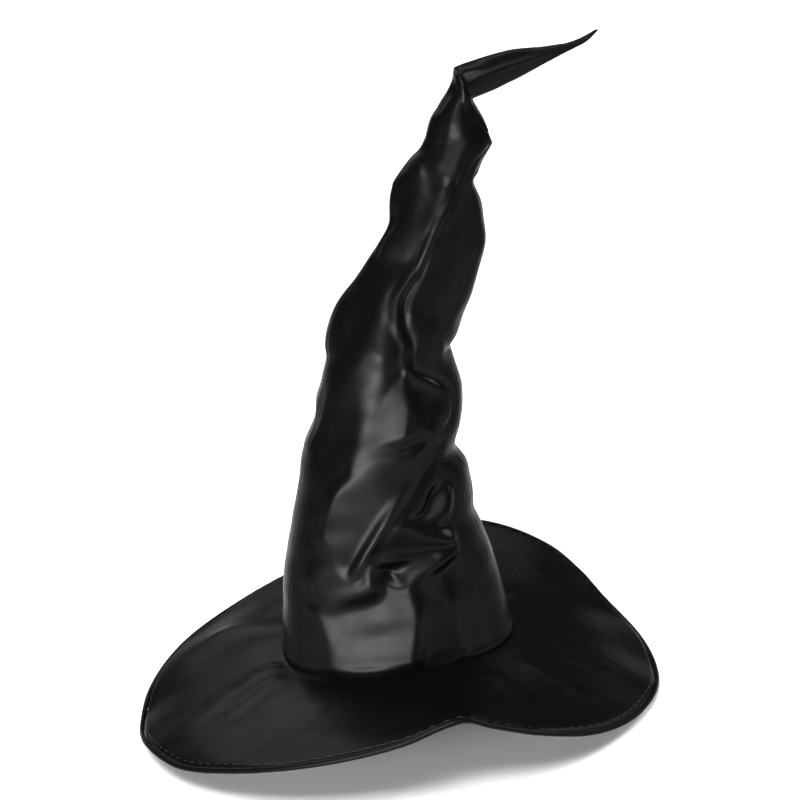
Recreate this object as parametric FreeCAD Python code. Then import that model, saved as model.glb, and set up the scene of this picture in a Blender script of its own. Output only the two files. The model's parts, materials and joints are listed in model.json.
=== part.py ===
"""Crooked witch hat: satin cone with a wired neck and tip, on a wide wired brim.

Frame: millimetres, +Z up through the head opening, X to the wearer's side, the front
of the hat towards -Y. The origin is the centre of the head opening, level with the
lower edge of the sweatband.
"""
import FreeCAD, Part
import math
import os

Vector = FreeCAD.Vector

# ---- driving dimensions (mm) ----
BASE_RADIUS = 100.0        # outside of the cone where it meets the brim
SEAM_HEIGHT = 4.0          # height of that seam at the front and back
SEAM_ARCH = 8.0            # how far the seam dips at the two sides
CONE_SLANT = 595.0         # length of the cone pattern, seam to tip, if it were straight

SATIN = 0.5                # thickness of the satin
WALL_FOAM = 2.0            # thickness of the foam behind the cone's satin
LINING = 0.3               # thickness of the lining
PLY_GAP = 0.15             # space between one ply of the cone and the next
BRIM_FOAM = 2.7            # thickness of the brim's foam
BRIM_PLY_GAP = 0.3         # space between the brim's foam and its satin

BAND_RADIUS = 92.0         # inside of the sweatband
BAND_THICKNESS = 0.6
BAND_HEIGHT = 26.0

PIPING_RADIUS = 2.3        # outside radius of the satin piping round the brim
PIPING_HOLE = 1.7          # inside radius of the piping
PIPING_WRAP = 300.0        # degrees of the wire that the piping goes round
BRIM_WIRE_RADIUS = 0.9     # radius of the wire in the piping
CRIMP_RADIUS = 1.5         # outside radius of the sleeve that joins the wire's ends
CRIMP_HOLE = 1.05
CRIMP_LENGTH = 14.0
FOAM_SEAM_ALLOWANCE = 3.0      # how far the brim's foam goes in under the cone
SATIN_SEAM_ALLOWANCE = 6.8     # how far the underside satin goes in, to the sweatband
TOP_SATIN_START = 0.3          # the top satin starts this far outside the cone

ARMATURE_RADIUS = 1.0      # radius of the soft wire that holds the crooked shape
CASING_RADIUS = 2.0        # outside radius of its fabric casing
CASING_HOLE = 1.2          # inside radius of that casing
BARE_WIRE = 18.0           # length of wire above the casing, where it is sewn to the fold
END_CAP_RADIUS = 1.8       # radius of the plastic cap on each end of the wire

THREAD_RADIUS = 0.3
STITCH_LENGTH = 5.0
EDGE_STITCHES = 132        # stitches beside the piping
EDGE_STITCH_INSET = 1.7    # how far inside the edge of the top satin they lie
SEAM_STITCHES = 66         # stitches under the seam of cone and brim
SEAM_STITCH_INSET = 3.5    # how far inside the seam they lie
THREAD_CLEARANCE = 0.2     # space between the brim's stitches and its satin
LABEL_SIZE = (22.0, 0.8, 28.0)     # width, thickness and height of the care label
LABEL_LEAN = 10.0                  # degrees it leans with the wall of the cone

HINGE_GAP = 0.3            # each body keeps this far from the plane of its fold
RING_POINTS = 24           # points round a cone section
BRIM_POINTS = 72           # points round the brim

# Brim: plan azimuth (degrees, 0 = +X, 90 = back), angle of the line from seam to edge
# (degrees, negative hangs down) and width from seam to edge (mm).
BRIM_EDGE = [
    (-180.0, -19.8, 137.0), (-158.0, -16.0, 137.0), (-145.0, -15.2, 137.0),
    (-130.0, -11.0, 136.0), (-106.0, -4.4, 135.0), (-92.0, 0.2, 135.0),
    (-80.0, 5.5, 135.0), (-74.0, 1.4, 134.0), (-64.0, -6.2, 132.0),
    (-49.0, -15.5, 130.0), (-35.0, -20.3, 129.0), (-18.0, -22.0, 129.0),
    (0.0, -23.5, 129.0), (20.0, -20.3, 129.0), (32.0, -15.6, 129.0),
    (41.0, -8.2, 130.0), (50.0, -0.8, 131.0), (65.0, 5.4, 134.0),
    (80.0, 6.6, 135.0), (96.0, 2.0, 135.0), (108.0, -4.2, 135.0),
    (128.0, -10.2, 135.0), (148.0, -14.0, 136.0), (166.0, -17.8, 137.0),
]
BRIM_SAG = 0.4             # share of the angle that builds up towards the edge
BRIM_MEAN_WIDTH = 133.0    # used where a few millimetres become a share of the width
BRIM_STEPS = (0.0, 0.25, 0.5, 0.75, 1.0)
INSIDE_PIPING = 1 - (PIPING_RADIUS + HINGE_GAP) / BRIM_MEAN_WIDTH    # where the plies end

# Cone sections: left end (x, z) and right end (x, z), z above the brim seam (mm).
CONE_SECTIONS = [
    ((-97.0, 21.0), (96.0, 23.0)), ((-91.5, 61.0), (89.5, 60.0)),
    ((-84.5, 90.0), (81.0, 92.0)), ((-76.0, 119.0), (77.0, 115.0)),
    ((-68.0, 146.0), (74.5, 145.0)), ((-60.0, 176.0), (69.0, 168.0)),
    ((-45.0, 214.0), (76.5, 200.0)), ((-33.0, 250.0), (75.5, 232.0)),
    ((-27.5, 278.0), (77.0, 256.0)), ((-12.0, 301.0), (89.0, 280.0)),
    ((12.0, 329.0), (101.0, 308.0)), ((31.0, 356.0), (110.5, 335.0)),
    ((36.0, 378.0), (110.5, 362.0)), ((43.0, 395.0), (107.0, 386.0)),
    ((57.0, 410.0), (115.0, 402.0)),
]
NECK_SECTIONS = [
    ((75.5, 439.5), (118.0, 438.0)), ((87.0, 454.5), (113.5, 450.0)),
    ((94.0, 467.0), (112.6, 452.0)),
]
TIP_SECTIONS = [
    ((117.0, 484.0), (130.0, 458.0)), ((147.0, 489.0), (151.0, 465.5)),
    ((170.5, 488.5), (174.5, 475.0)), ((193.0, 489.3), (195.5, 482.5)),
]
TIP_END = (216.5, 496.0)   # middle of the tip's blunt end
TIP_END_RADIUS = 1.0
FOAM_TIP_SECTIONS = 3      # the tip's foam stops at this section
LOWER_FOAM_SECTIONS = 7    # the lower of the cone's two foam pieces stops at this section

# Folds: the outer corner that the fabric turns about, and the inner corner.
NECK_FOLD_OUTER = (123.0, 421.0)
NECK_FOLD_INNER = (67.5, 422.0)
TIP_FOLD_OUTER = (99.0, 480.0)
TIP_FOLD_INNER = (112.5, 453.0)

# Route of the armature wire in the plane y = 0, (x, z) above the brim seam (mm).
CONE_WIRE = [(66.5, 243.0), (69.5, 261.0), (80.0, 282.0), (91.5, 306.0), (100.0, 332.0),
             (101.5, 358.0), (98.5, 383.0), (104.0, 401.0), (113.5, 416.0)]
NECK_WIRE = [(113.5, 427.0), (112.0, 438.0), (108.0, 451.0), (103.5, 463.0)]
TIP_WIRE = [(107.0, 474.5), (127.0, 476.0), (149.0, 477.3), (171.0, 481.5), (189.0, 485.3)]


# ---- small helpers ----
def smooth_round(rows, azimuth, column):
    """Value of a column of rows at an azimuth, smooth and closed round the circle."""
    count = len(rows)
    azimuth = (azimuth + 180.0) % 360.0 - 180.0
    index = max(i for i in range(count) if rows[i][0] <= azimuth)

    def knot(i):
        turn, place = divmod(i, count)
        return rows[place][0] + 360.0 * turn, rows[place][column]

    (xa, ya), (x0, y0), (x1, y1), (xb, yb) = (knot(index + k) for k in (-1, 0, 1, 2))
    span = x1 - x0
    t = (azimuth - x0) / span
    slope0 = (y1 - ya) / (x1 - xa) * span
    slope1 = (yb - y0) / (xb - x0) * span
    return ((2 * t**3 - 3 * t**2 + 1) * y0 + (t**3 - 2 * t**2 + t) * slope0
            + (3 * t**2 - 2 * t**3) * y1 + (t**3 - t**2) * slope1)


def closed_curve(points):
    curve = Part.BSplineCurve()
    curve.interpolate(Points=points, PeriodicFlag=True)
    return curve.toShape()


def solid_of(faces):
    shell = Part.Shell(faces)
    shell.sewShape()
    solid = Part.Solid(shell)
    if solid.Volume < 0:
        solid.reverse()
    return solid


def ring_solid(rings):
    """Solid whose cross-section passes once through each of the closed rings."""
    curves = [closed_curve(ring) for ring in rings]
    pairs = zip(curves, curves[1:] + curves[:1])
    return solid_of([Part.makeRuledSurface(a, b) for a, b in pairs])


def capped_solid(outer, inner):
    """Solid open at its first ring and closed at its last, outside and inside."""
    outside = [closed_curve(ring) for ring in outer]
    inside = [closed_curve(ring) for ring in inner]
    faces = [Part.makeRuledSurface(outside[0], inside[0])]
    for curves in (outside, inside):
        faces += [Part.makeRuledSurface(a, b) for a, b in zip(curves, curves[1:])]
        faces.append(Part.Face(Part.Wire([curves[-1]])))
    return solid_of(faces)


def bent_path(points):
    """Straight runs joined by tangent arcs through a list of points."""
    edges = []
    start = points[0]
    for before, corner, after in zip(points, points[1:], points[2:]):
        run_in = corner - before
        run_out = after - corner
        turn = run_in.getAngle(run_out)
        reach = 0.45 * min(run_in.Length, run_out.Length)
        radius = reach / math.tan(turn / 2)
        back = Vector(run_in).normalize()
        ahead = Vector(run_out).normalize()
        first = corner - back * reach
        last = corner + ahead * reach
        bisector = (ahead - back).normalize()
        middle = corner + bisector * (radius / math.cos(turn / 2) - radius)
        edges.append(Part.LineSegment(start, first).toShape())
        edges.append(Part.Arc(first, middle, last).toShape())
        start = last
    edges.append(Part.LineSegment(start, points[-1]).toShape())
    return Part.Wire(edges)


def rod(points, radius):
    """Round bar along a bent path."""
    path = bent_path(points)
    direction = points[1] - points[0]
    profile = Part.Wire([Part.makeCircle(radius, points[0], direction)])
    return path.makePipeShell([profile], True, False)


def stitch(middle, direction, length=STITCH_LENGTH):
    """One stitch of thread, a short round bar."""
    along = Vector(direction).normalize()
    return Part.makeCylinder(THREAD_RADIUS, length, middle - along * (length / 2), along)


def save(name, shape):
    if not shape.isValid():
        print("not valid:", name)
    shape.exportStep("parts/%s.step" % name)
    print("%-22s volume %9.1f mm3, solids %d" % (name, shape.Volume, len(shape.Solids)))


# ---- cone, neck and tip ----
def seam_height(azimuth):
    return SEAM_HEIGHT - SEAM_ARCH * math.cos(azimuth) ** 2


def turns(count):
    return [2 * math.pi * k / count for k in range(count)]


def base_ring(inset):
    """Ring of the cone at the brim seam."""
    radius = BASE_RADIUS - inset
    return [Vector(radius * math.cos(a), radius * math.sin(a), seam_height(a))
            for a in turns(RING_POINTS)]


def section_ring(left, right, travelled, inset):
    """Oval ring of the cone between two ends, as round as the fabric's length allows."""
    centre = Vector((left[0] + right[0]) / 2, 0, (left[1] + right[1]) / 2 + SEAM_HEIGHT)
    across = Vector(right[0] - left[0], 0, right[1] - left[1])
    half_width = across.Length / 2
    across.normalize()
    even_radius = BASE_RADIUS * (1 - travelled / CONE_SLANT)
    half_depth = math.sqrt(max(2 * even_radius**2 - half_width**2, (0.8 * half_width)**2))
    return [centre + across * ((half_width - inset) * math.cos(a))
            + Vector(0, (half_depth - inset) * math.sin(a), 0)
            for a in turns(RING_POINTS)]


def middle_of(section):
    (xl, zl), (xr, zr) = section
    return Vector((xl + xr) / 2, 0, (zl + zr) / 2)


def with_travel(sections, start, travelled):
    """Each section with the length of cloth between it and the brim seam."""
    rows = []
    last = start
    for section in sections:
        travelled += (middle_of(section) - last).Length
        last = middle_of(section)
        rows.append((section[0], section[1], travelled))
    return rows


def moved_off(outer, inner, side):
    """A fold's two corners moved off its plane, to one side by the hinge gap."""
    along = Vector(inner[0] - outer[0], 0, inner[1] - outer[1]).normalize()
    normal = Vector(-along.z, 0, along.x) * (side * HINGE_GAP)
    return [(corner[0] + normal.x, corner[1] + normal.z) for corner in (outer, inner)]


neck_below = moved_off(NECK_FOLD_OUTER, NECK_FOLD_INNER, 1)
neck_above = moved_off(NECK_FOLD_OUTER, NECK_FOLD_INNER, -1)
tip_below = moved_off(TIP_FOLD_OUTER, TIP_FOLD_INNER, -1)
tip_above = moved_off(TIP_FOLD_OUTER, TIP_FOLD_INNER, 1)

cone_rows = with_travel(CONE_SECTIONS + [(neck_below[1], neck_below[0])], Vector(0, 0, 0), 0.0)
neck_rows = with_travel([(neck_above[1], neck_above[0])] + NECK_SECTIONS + [tuple(tip_below)],
                        middle_of(neck_below), cone_rows[-1][2])
tip_rows = with_travel([tuple(tip_above)] + TIP_SECTIONS, middle_of(tip_below), neck_rows[-1][2])


def wall(rows, inset, thickness, base=False):
    """One ply of a stretch of the cone, as a closed solid."""
    outer = [section_ring(*row, inset) for row in rows]
    inner = [section_ring(*row, inset + thickness) for row in rows]
    if base:
        outer.insert(0, base_ring(inset))
        inner.insert(0, base_ring(inset + thickness))
    return ring_solid(outer + inner[::-1])


def tip_end_ring(radius):
    """Small ring at the blunt end of the tip, square to the last stretch."""
    end = Vector(TIP_END[0], 0, TIP_END[1] + SEAM_HEIGHT)
    left, right = TIP_SECTIONS[-1]
    across = Vector(right[0] - left[0], 0, right[1] - left[1]).normalize()
    return [end + across * (radius * math.cos(a)) + Vector(0, radius * math.sin(a), 0)
            for a in turns(RING_POINTS)]


def tip_cover():
    outer = [section_ring(*row, 0.0) for row in tip_rows] + [tip_end_ring(TIP_END_RADIUS)]
    inner = [section_ring(*row, SATIN) for row in tip_rows]
    return capped_solid(outer, inner)


def outside_point(section, angle, proud=0.0):
    """Point on the satin at an angle round a section."""
    return section_ring(section[0], section[1], section[2], -proud)[angle]


def cone_seam_stitches():
    """Stitches up the back of the cone, along the edge-to-edge seam of the pattern."""
    back = RING_POINTS // 4
    line = [base_ring(-THREAD_RADIUS)[back]]
    line += [outside_point(row, back, THREAD_RADIUS) for row in cone_rows]
    stitches = []
    for a, b in zip(line, line[1:]):
        run = b - a
        count = int(run.Length // (2 * STITCH_LENGTH))
        stitches += [stitch(a + run * ((k + 0.5) / count), run) for k in range(count)]
    return Part.makeCompound(stitches)


# ---- brim ----
def brim_point(azimuth, reach, drop, inner=0.0):
    """Point of the brim: reach 0 at the seam to 1 at the edge, drop below its top face.

    inner moves the point sideways, negative towards the middle of the hat.
    """
    degrees = math.degrees(azimuth)
    angle = math.radians(smooth_round(BRIM_EDGE, degrees, 1)) * (1 - BRIM_SAG + BRIM_SAG * reach)
    run = smooth_round(BRIM_EDGE, degrees, 2) * reach
    radius = BASE_RADIUS + inner + run * math.cos(angle)
    height = seam_height(azimuth) + run * math.sin(angle) - drop
    return Vector(radius * math.cos(azimuth), radius * math.sin(azimuth), height)


def brim_ring(reach, drop, inner):
    return [brim_point(a, reach, drop, inner) for a in turns(BRIM_POINTS)]


def brim_ply(drop, thickness, inner):
    """One ply of the brim, to just inside the piping.

    It starts inner millimetres outside the seam. A negative inner is a seam allowance
    that lies level under the cone.
    """
    places = [(0.0, inner)]
    places += [(step * INSIDE_PIPING, 0.0) for step in BRIM_STEPS if step > 0 or inner < 0]
    top = [brim_ring(reach, drop, inner) for reach, inner in places]
    bottom = [brim_ring(reach, drop + thickness, inner) for reach, inner in places]
    return ring_solid(top + bottom[::-1])


BRIM_DEPTH = 2 * SATIN + BRIM_FOAM + 2 * BRIM_PLY_GAP


def brim_foam_half(side):
    """Half of the brim's foam, on the +X side (side 1) or the -X side (side -1)."""
    whole = brim_ply(SATIN + BRIM_PLY_GAP, BRIM_FOAM, -FOAM_SEAM_ALLOWANCE)
    reach = 2 * (BASE_RADIUS + BRIM_MEAN_WIDTH)
    corner = Vector(0 if side > 0 else -reach, -reach, -reach)
    return whole.common(Part.makeBox(reach, 2 * reach, 2 * reach, corner))


def edge_middle(azimuth):
    """Middle of the piping and its wire."""
    return brim_point(azimuth, 1.0, BRIM_DEPTH / 2)


def edge_ring(radius, angle):
    """Ring along the brim's edge at an angle round the piping, 0 facing outward."""
    ring = []
    for azimuth in turns(BRIM_POINTS):
        outward = Vector(math.cos(azimuth), math.sin(azimuth), 0) * (radius * math.cos(angle))
        ring.append(edge_middle(azimuth) + outward + Vector(0, 0, radius * math.sin(angle)))
    return ring


def piping():
    """Folded satin strip round the wire, open towards the brim where it is sewn in."""
    half_wrap = math.radians(PIPING_WRAP / 2)
    angles = [half_wrap * k / 4 for k in range(-4, 5)]
    outer = [edge_ring(PIPING_RADIUS, angle) for angle in angles]
    inner = [edge_ring(PIPING_HOLE, angle) for angle in reversed(angles)]
    return ring_solid(outer + inner)


def brim_wire():
    return ring_solid([edge_ring(BRIM_WIRE_RADIUS, angle) for angle in turns(8)])


def brim_wire_crimp():
    """Sleeve over the two ends of the wire, at the back of the hat."""
    middle = edge_middle(math.pi / 2)
    step = math.radians(2.0)
    along = (edge_middle(math.pi / 2 + step) - edge_middle(math.pi / 2 - step)).normalize()
    start = middle - along * (CRIMP_LENGTH / 2)
    outer = Part.makeCylinder(CRIMP_RADIUS, CRIMP_LENGTH, start, along)
    return outer.cut(Part.makeCylinder(CRIMP_HOLE, CRIMP_LENGTH, start, along))


def stitch_row(count, place):
    """Stitches round the brim; place gives a point for each azimuth."""
    stitches = []
    for azimuth in turns(count):
        half_step = math.pi / count / 2
        run = place(azimuth + half_step) - place(azimuth - half_step)
        stitches.append(stitch(place(azimuth), run))
    return Part.makeCompound(stitches)


def brim_edge_stitches():
    """Stitches beside the piping, just above the last step of the top satin."""
    reaches = [step * INSIDE_PIPING for step in BRIM_STEPS[-2:]]
    curves = [closed_curve(brim_ring(reach, 0.0, 0.0)).Curve for reach in reaches]
    step_width = (reaches[1] - reaches[0]) * BRIM_MEAN_WIDTH
    share = 1 - EDGE_STITCH_INSET / step_width
    rise = Vector(0, 0, THREAD_RADIUS + THREAD_CLEARANCE)

    def place(azimuth):
        turn = azimuth / (2 * math.pi) % 1.0
        inner, outer = [curve.value(curve.FirstParameter * (1 - turn)
                                    + curve.LastParameter * turn) for curve in curves]
        return inner + (outer - inner) * share + rise

    return stitch_row(EDGE_STITCHES, place)


def base_seam_stitches():
    """Stitches that hold the underside to the cone, along the middle of its allowance."""
    drop = BRIM_DEPTH + THREAD_RADIUS + THREAD_CLEARANCE
    return stitch_row(SEAM_STITCHES, lambda a: brim_point(a, 0.0, drop, -SEAM_STITCH_INSET))


# ---- head opening ----
def sweatband():
    outer = Part.makeCylinder(BAND_RADIUS + BAND_THICKNESS, BAND_HEIGHT)
    return outer.cut(Part.makeCylinder(BAND_RADIUS, BAND_HEIGHT))


def care_label():
    """Blank folded ribbon, hanging inside the back above the sweatband."""
    width, thickness, height = LABEL_SIZE
    ribbon = Part.makeBox(width, thickness, height, Vector(-width / 2, -thickness, 0))
    ribbon.rotate(Vector(0, 0, 0), Vector(1, 0, 0), LABEL_LEAN)
    ribbon.translate(Vector(0, BAND_RADIUS - 1.2, BAND_HEIGHT + 1.5))
    return ribbon


# ---- armature wire ----
def route(points):
    return [Vector(x, 0, z + SEAM_HEIGHT) for x, z in points]


def casing():
    """Fabric tube that holds the cone's wire to the lining."""
    points = route(CONE_WIRE)
    tube = rod(points, CASING_RADIUS).cut(rod(points, CASING_HOLE))
    ends = ((points[0], points[1], END_CAP_RADIUS), (points[-1], points[-2], BARE_WIRE))
    for end, towards, length in ends:
        along = (towards - end).normalize()
        tube = tube.cut(Part.makeCylinder(3 * CASING_RADIUS, length, end, along))
    return tube


def end_cap(points):
    """Round plastic cap pushed over the first end of a route of wire."""
    along = (points[1] - points[0]).normalize()
    cap = Part.makeSphere(END_CAP_RADIUS, points[0])
    return cap.cut(Part.makeCylinder(ARMATURE_RADIUS, 2 * END_CAP_RADIUS, points[0], along))


def main():
    os.makedirs("parts", exist_ok=True)
    foam_inset = SATIN + PLY_GAP
    lining_inset = foam_inset + WALL_FOAM + PLY_GAP
    save("cone_satin", wall(cone_rows, 0.0, SATIN, base=True))
    lower_rows = cone_rows[:LOWER_FOAM_SECTIONS]
    upper_rows = cone_rows[LOWER_FOAM_SECTIONS - 1:]
    save("lower_cone_foam", wall(lower_rows, foam_inset, WALL_FOAM, base=True))
    save("upper_cone_foam", wall(upper_rows, foam_inset, WALL_FOAM))
    save("cone_lining", wall(cone_rows, lining_inset, LINING, base=True))
    save("cone_seam_stitching", cone_seam_stitches())
    save("neck_satin", wall(neck_rows, 0.0, SATIN))
    save("neck_foam", wall(neck_rows, foam_inset, WALL_FOAM))
    save("tip_satin", tip_cover())
    save("tip_foam", wall(tip_rows[:FOAM_TIP_SECTIONS], foam_inset, WALL_FOAM))
    save("brim_top_satin", brim_ply(0.0, SATIN, TOP_SATIN_START))
    save("right_brim_foam", brim_foam_half(1))
    save("left_brim_foam", brim_foam_half(-1))
    underside_drop = BRIM_DEPTH - SATIN
    save("brim_underside_satin", brim_ply(underside_drop, SATIN, -SATIN_SEAM_ALLOWANCE))
    save("brim_edge_piping", piping())
    save("brim_edge_wire", brim_wire())
    save("brim_wire_crimp", brim_wire_crimp())
    save("brim_edge_stitching", brim_edge_stitches())
    save("base_seam_stitching", base_seam_stitches())
    save("sweatband", sweatband())
    save("care_label", care_label())
    cone_route = route(CONE_WIRE)
    neck_route = route(NECK_WIRE)
    tip_route = route(TIP_WIRE)
    save("cone_wire", rod(cone_route, ARMATURE_RADIUS))
    save("neck_wire", rod(neck_route, ARMATURE_RADIUS))
    save("tip_wire", rod(tip_route, ARMATURE_RADIUS))
    save("cone_wire_casing", casing())
    save("cone_wire_end_cap", end_cap(cone_route))
    save("tip_wire_end_cap", end_cap(tip_route[::-1]))


main()
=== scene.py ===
"""Crooked witch hat in black satin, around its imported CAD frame. Shapes in mm, lights in m."""
import json
import math
from dataclasses import dataclass

import bpy
import numpy as np
from mathutils import Matrix, Vector
from numpy.linalg import norm


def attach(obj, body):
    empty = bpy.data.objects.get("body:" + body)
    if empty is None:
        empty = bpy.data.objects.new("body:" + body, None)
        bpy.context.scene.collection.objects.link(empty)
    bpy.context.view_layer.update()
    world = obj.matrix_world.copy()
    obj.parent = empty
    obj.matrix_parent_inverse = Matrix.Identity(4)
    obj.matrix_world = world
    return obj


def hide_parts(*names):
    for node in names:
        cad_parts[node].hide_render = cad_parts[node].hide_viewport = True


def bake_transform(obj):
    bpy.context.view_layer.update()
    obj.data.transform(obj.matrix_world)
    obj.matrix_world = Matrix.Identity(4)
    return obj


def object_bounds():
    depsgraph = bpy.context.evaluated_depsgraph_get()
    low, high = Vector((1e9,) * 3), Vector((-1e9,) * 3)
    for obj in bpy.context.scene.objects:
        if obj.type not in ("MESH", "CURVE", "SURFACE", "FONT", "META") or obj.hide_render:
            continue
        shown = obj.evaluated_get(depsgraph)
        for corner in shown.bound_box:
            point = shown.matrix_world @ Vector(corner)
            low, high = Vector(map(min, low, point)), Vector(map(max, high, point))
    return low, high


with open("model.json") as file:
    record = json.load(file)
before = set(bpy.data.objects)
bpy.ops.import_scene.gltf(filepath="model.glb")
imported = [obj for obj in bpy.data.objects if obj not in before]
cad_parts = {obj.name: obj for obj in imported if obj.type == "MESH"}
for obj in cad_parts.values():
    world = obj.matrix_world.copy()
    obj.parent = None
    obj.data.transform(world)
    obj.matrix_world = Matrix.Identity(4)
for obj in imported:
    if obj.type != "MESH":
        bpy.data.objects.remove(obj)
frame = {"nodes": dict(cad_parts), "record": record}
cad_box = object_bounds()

MM = 0.001
scene = bpy.context.scene

# ---- sizes shared with the CAD model (mm) ----
BASE_RADIUS = 100.0
SEAM_HEIGHT = 4.0
SEAM_ARCH = 8.0
CONE_SLANT = 595.0

# Brim: plan azimuth (degrees), angle of the line from seam to edge (degrees), width (mm).
BRIM_EDGE = np.array([
    (-180, -19.8, 137), (-158, -16.0, 137), (-145, -15.2, 137), (-130, -11.0, 136), (-106, -4.4, 135),
    (-92, 0.2, 135), (-80, 5.5, 135), (-74, 1.4, 134), (-64, -6.2, 132), (-49, -15.5, 130),
    (-35, -20.3, 129), (-18, -22.0, 129), (0, -23.5, 129), (20, -20.3, 129), (32, -15.6, 129),
    (41, -8.2, 130), (50, -0.8, 131), (65, 5.4, 134), (80, 6.6, 135), (96, 2.0, 135), (108, -4.2, 135),
    (128, -10.2, 135), (148, -14.0, 136), (166, -17.8, 137)], float)
BRIM_SAG = 0.4

# Cone outline: left and right end of each section, x and z above the seam (mm).
OUTLINE = np.array([
    (-97, 21, 96, 23), (-94.5, 40, 93, 40), (-91.5, 61, 89.5, 60), (-84.5, 89.5, 83, 86),
    (-80, 104, 77.5, 104), (-76, 119, 77.5, 120), (-72, 132, 77.5, 132), (-68, 145.5, 75, 146),
    (-64, 163, 67, 161), (-61, 173, 69.5, 172), (-58.5, 180, 73.5, 181.5), (-49, 197, 77, 197),
    (-45, 214, 78.5, 213.5), (-39, 231, 77, 225), (-32.5, 249.5, 73, 243), (-32, 261, 72, 250),
    (-27.5, 278, 79, 260), (-15, 298, 86.5, 276.5), (-0.5, 313.5, 95, 292.5), (12, 329, 101.5, 309.5),
    (24, 344, 108.5, 326), (32.5, 359, 111, 338), (35.5, 377, 111, 353), (38, 386, 110, 368.5),
    (41.5, 393.5, 105.5, 385.5), (55, 408.5, 110.5, 393.5), (64, 416, 118.5, 409.5),
    (69.5, 424, 123, 421), (75.5, 439.5, 120, 433.5), (82, 448, 116, 443), (87, 454.5, 113, 450),
    (92.5, 462, 112.5, 452.5), (97, 470.5, 112.5, 453.2), (99.5, 479.5, 112.5, 453.8),
    (108, 482, 121, 456), (117, 484, 130, 458.5), (132, 487, 140, 462), (147, 489, 151, 465.8),
    (159, 489, 163, 470.5), (170.5, 488.5, 175, 475.5), (183, 488.8, 186, 480), (195, 489.5, 197, 484),
    (207.5, 492.5, 209, 489), (217, 497.5, 218, 496.5)], float)
NECK_FOLD = 27  # row of the outline at the fold under the neck
TIP_FOLD = 33  # row of the outline at the fold under the tip
CONE_COLUMNS = 400
ROWS_PER_STEP = 12
FOOT_ROWS = 16  # rows between the brim seam and the first row of the outline
SOFT_ROWS = 24  # spread of the smoothing of the cone's front and back
NOTCH_SLANT = 30  # rows that a notch climbs between the side and the front
SLANT_LEFT = 2  # slant of the paper cone left beyond the last row
DEPTH_LIMITS = 0.7, 1.25  # least depth over the width, and most over that of an even cone


def smoothstep(t):
    t = np.clip(t, 0, 1)
    return t * t * (3 - 2 * t)


def hermite(t, y0, y1, slope0, slope1):
    return ((2 * t**3 - 3 * t**2 + 1) * y0 + (t**3 - 2 * t**2 + t) * slope0
            + (3 * t**2 - 2 * t**3) * y1 + (t**3 - t**2) * slope1)


def round_table(rows, azimuth, column):
    """Column of a table at azimuths (degrees), smooth and closed round the circle."""
    angle = np.concatenate([rows[-2:, 0] - 360, rows[:, 0], rows[:2, 0] + 360])
    value = np.concatenate([rows[-2:, column], rows[:, column], rows[:2, column]])
    azimuth = (np.asarray(azimuth) + 180) % 360 - 180
    i = np.searchsorted(angle, azimuth, side="right") - 1
    span = angle[i + 1] - angle[i]
    t = (azimuth - angle[i]) / span
    slope0 = (value[i + 1] - value[i - 1]) / (angle[i + 1] - angle[i - 1]) * span
    slope1 = (value[i + 2] - value[i]) / (angle[i + 2] - angle[i]) * span
    return hermite(t, value[i], value[i + 1], slope0, slope1)


def travel(points):
    """Distance travelled along a line, at each of its points."""
    return np.concatenate([[0], np.cumsum(norm(np.diff(points, axis=0), axis=1))])


def open_table(rows, place, corners=()):
    """Rows at fractional places, smooth between rows, with a corner at each row in corners."""
    last = len(rows) - 1
    i = np.clip(np.floor(place).astype(int), 0, last - 1)
    t = (place - i)[:, None]
    before = rows[np.clip(i - 1, 0, last)]
    after = rows[np.clip(i + 2, 0, last)]
    here, ahead = rows[i], rows[i + 1]
    slope0 = (ahead - before) / 2
    slope1 = (after - here) / 2
    straight = ahead - here
    slope0 = np.where(np.isin(i, corners)[:, None], straight, slope0)
    slope1 = np.where(np.isin(i + 1, corners)[:, None], straight, slope1)
    return hermite(t, here, ahead, slope0, slope1)


def seam_height(azimuth):
    return SEAM_HEIGHT - SEAM_ARCH * np.cos(azimuth) ** 2


def round_angles(count):
    """Angles of the columns of a grid closed round them."""
    return np.linspace(0, 2 * np.pi, count, endpoint=False)


def add_object(name, data):
    thing = bpy.data.objects.new(name, data)
    scene.collection.objects.link(thing)
    return thing


def make_mesh(name, points, faces, smooth=True):
    mesh = bpy.data.meshes.new(name)
    mesh.from_pydata(np.asarray(points).reshape(-1, 3) * MM, [], faces)
    mesh.validate()
    if smooth:
        mesh.polygons.foreach_set("use_smooth", [True] * len(mesh.polygons))
    mesh.update()
    return add_object(name, mesh)


def read_all(items, name, width=1, kind=float):
    """An attribute of every item of a mesh, as an array with width columns."""
    values = np.empty(len(items) * width, kind)
    items.foreach_get(name, values)
    return values.reshape(-1, width) if width > 1 else values


def grid_faces(rows, columns, joined=False):
    """Quads of a grid closed round its columns; joined also joins its last row to its first."""
    r, c = np.meshgrid(np.arange(rows if joined else rows - 1), np.arange(columns), indexing="ij")
    here, ahead, n = r * columns, (r + 1) % rows * columns, (c + 1) % columns
    return np.stack([here + c, here + n, ahead + n, ahead + c], -1).reshape(-1, 4).tolist()


def lay_cloth(piece, rows, columns, width, length):
    """Cloth coordinates in metres, across and along, on a grid closed round its columns."""
    mesh = piece.data
    row, column = np.divmod(read_all(mesh.loops, "vertex_index", kind=int), columns)
    sides = read_all(mesh.polygons, "loop_total", kind=int)
    owner = np.repeat(np.arange(len(sides)), sides)
    last = np.zeros(len(sides), int)
    np.maximum.at(last, owner, column)
    column = np.where(last[owner] - column > columns / 2, column + columns, column)
    spots = np.stack([column / columns * width, row / (rows - 1) * length], -1)
    layer = mesh.uv_layers.new(name="cloth")
    layer.data.foreach_set("uv", spots.reshape(-1))


# ---- materials ----
def join(source, socket):
    socket.id_data.links.new(source, socket)


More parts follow.
